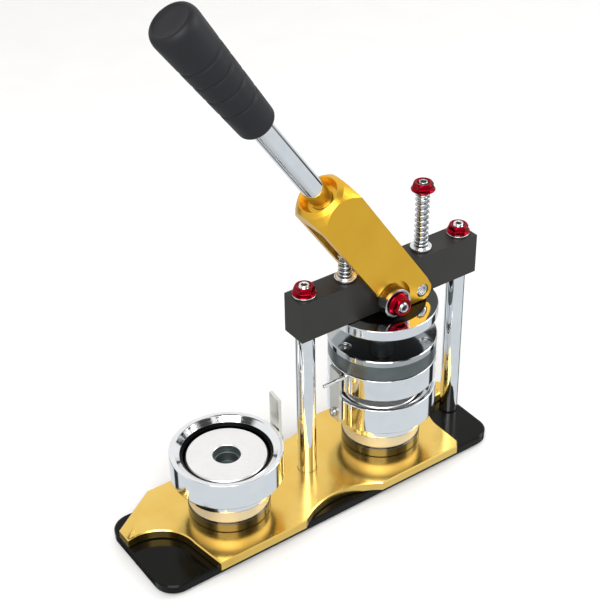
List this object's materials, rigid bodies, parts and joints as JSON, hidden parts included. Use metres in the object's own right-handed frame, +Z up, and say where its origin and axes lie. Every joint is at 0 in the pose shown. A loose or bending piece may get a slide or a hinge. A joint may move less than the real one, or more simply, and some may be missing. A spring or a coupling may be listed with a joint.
{
  "type": "button badge maker press",
  "caption": "Bench press for button badges: a lever with rollers drives an upper die down onto one of two spring-collared dies on a swivelling plate.",
  "frame": {"origin": "on the axis of the left pillar, which is also the middle of the base, at the height of the surface the rubber feet stand on", "axes": "+X along the base towards the press, +Y to the back, +Z up"},
  "size_m": [0.2904, 0.0936, 0.3939],
  "materials": {
    "gold_anodised": "bright gold anodised",
    "red_anodised": "bright red anodised",
    "polished_steel": "polished and chromed",
    "satin_steel": "turned, satin",
    "spring_wire": "drawn wire",
    "black_gloss_paint": "gloss black",
    "black_matte_paint": "matte black",
    "black_plastic": "soft matte",
    "black_rubber": "matte"
  },
  "bodies": {
    "base": {"base_plate": "black_gloss_paint", "front_left_foot": "black_rubber", "front_right_foot": "black_rubber", "back_left_foot": "black_rubber", "back_right_foot": "black_rubber", "left_pillar": "polished_steel", "right_pillar": "polished_steel", "left_pillar_screw": "satin_steel", "right_pillar_screw": "satin_steel", "crossbeam": "black_matte_paint", "left_beam_washer": "polished_steel", "right_beam_washer": "polished_steel", "left_beam_nut": "red_anodised", "right_beam_nut": "red_anodised", "left_spring_seat": "polished_steel", "right_spring_seat": "polished_steel", "left_return_spring": "spring_wire", "right_return_spring": "spring_wire"},
    "lever": {"lever_fork": "gold_anodised", "lever_rod": "polished_steel", "lever_grip": "black_plastic", "lever_pivot_pin": "satin_steel", "front_roller_bolt": "satin_steel", "back_roller_bolt": "satin_steel", "front_roller_nut": "red_anodised", "back_roller_nut": "red_anodised"},
    "front_roller": {"front_roller": "polished_steel"},
    "back_roller": {"back_roller": "polished_steel"},
    "press_head": {"press_disc": "polished_steel", "press_shaft": "polished_steel", "upper_flange": "satin_steel", "flange_screw_1": "satin_steel", "flange_screw_2": "satin_steel", "flange_screw_3": "satin_steel", "upper_die_body": "satin_steel", "upper_die_punch": "satin_steel", "left_guide_rod": "polished_steel", "right_guide_rod": "polished_steel", "left_guide_nut": "red_anodised", "right_guide_nut": "red_anodised"},
    "upper_ring": {"upper_die_ring": "polished_steel", "latch_pin": "polished_steel"},
    "swivel": {"swivel_plate": "gold_anodised", "left_die_body": "polished_steel", "right_die_body": "polished_steel", "left_die_screw": "satin_steel", "right_die_screw": "satin_steel", "left_anvil": "satin_steel", "right_anvil": "satin_steel", "left_die_spring": "spring_wire", "right_die_spring": "spring_wire"},
    "left_collar_set": {"left_collar": "polished_steel", "left_tab": "polished_steel", "left_tab_screw": "satin_steel"},
    "right_collar_set": {"right_collar": "polished_steel", "right_tab": "polished_steel", "right_tab_screw": "satin_steel"}
  },
  "joints": [
    {"name": "lever_swing", "type": "hinge", "parent": "base", "child": "lever", "pos_m": [0.0893, 0, 0.1473], "axis": [0, -1, 0], "range_deg": [0, 42]},
    {"name": "front_roller_spin", "type": "hinge", "parent": "lever", "child": "front_roller", "pos_m": [0.0628, 0, 0.1498], "axis": [0, 1, 0], "continuous": true},
    {"name": "back_roller_spin", "type": "hinge", "parent": "lever", "child": "back_roller", "pos_m": [0.0628, 0, 0.1498], "axis": [0, 1, 0], "continuous": true},
    {"name": "press_slide", "type": "slide", "parent": "base", "child": "press_head", "axis": [0, 0, -1], "range_m": [0, 0.019], "stiffness_N_per_m": 5000, "springref_m": -0.016, "deforming": ["left_return_spring", "right_return_spring"]},
    {"name": "upper_ring_turn", "type": "hinge", "parent": "press_head", "child": "upper_ring", "pos_m": [0.06775, 0, 0.086], "axis": [0, 0, 1], "range_deg": [-22, 0]},
    {"name": "plate_swivel", "type": "hinge", "parent": "base", "child": "swivel", "pos_m": [0, 0, 0.014], "axis": [0, 0, 1], "range_deg": [0, 180]},
    {"name": "left_collar_slide", "type": "slide", "parent": "swivel", "child": "left_collar_set", "axis": [0, 0, -1], "range_m": [0, 0.011], "stiffness_N_per_m": 3000, "springref_m": -0.004, "deforming": ["left_die_spring"]},
    {"name": "right_collar_slide", "type": "slide", "parent": "swivel", "child": "right_collar_set", "axis": [0, 0, -1], "range_m": [0, 0.011], "stiffness_N_per_m": 3000, "springref_m": -0.004, "deforming": ["right_die_spring"]}
  ],
  "couplings": [
    {"joint": "press_slide", "follows": "lever_swing", "m_per_rad": 0.0255},
    {"joint": "right_collar_slide", "follows": "lever_swing", "m_per_rad": 0.0148},
    {"joint": "upper_ring_turn", "follows": "plate_swivel", "ratio": -0.121}
  ]
}
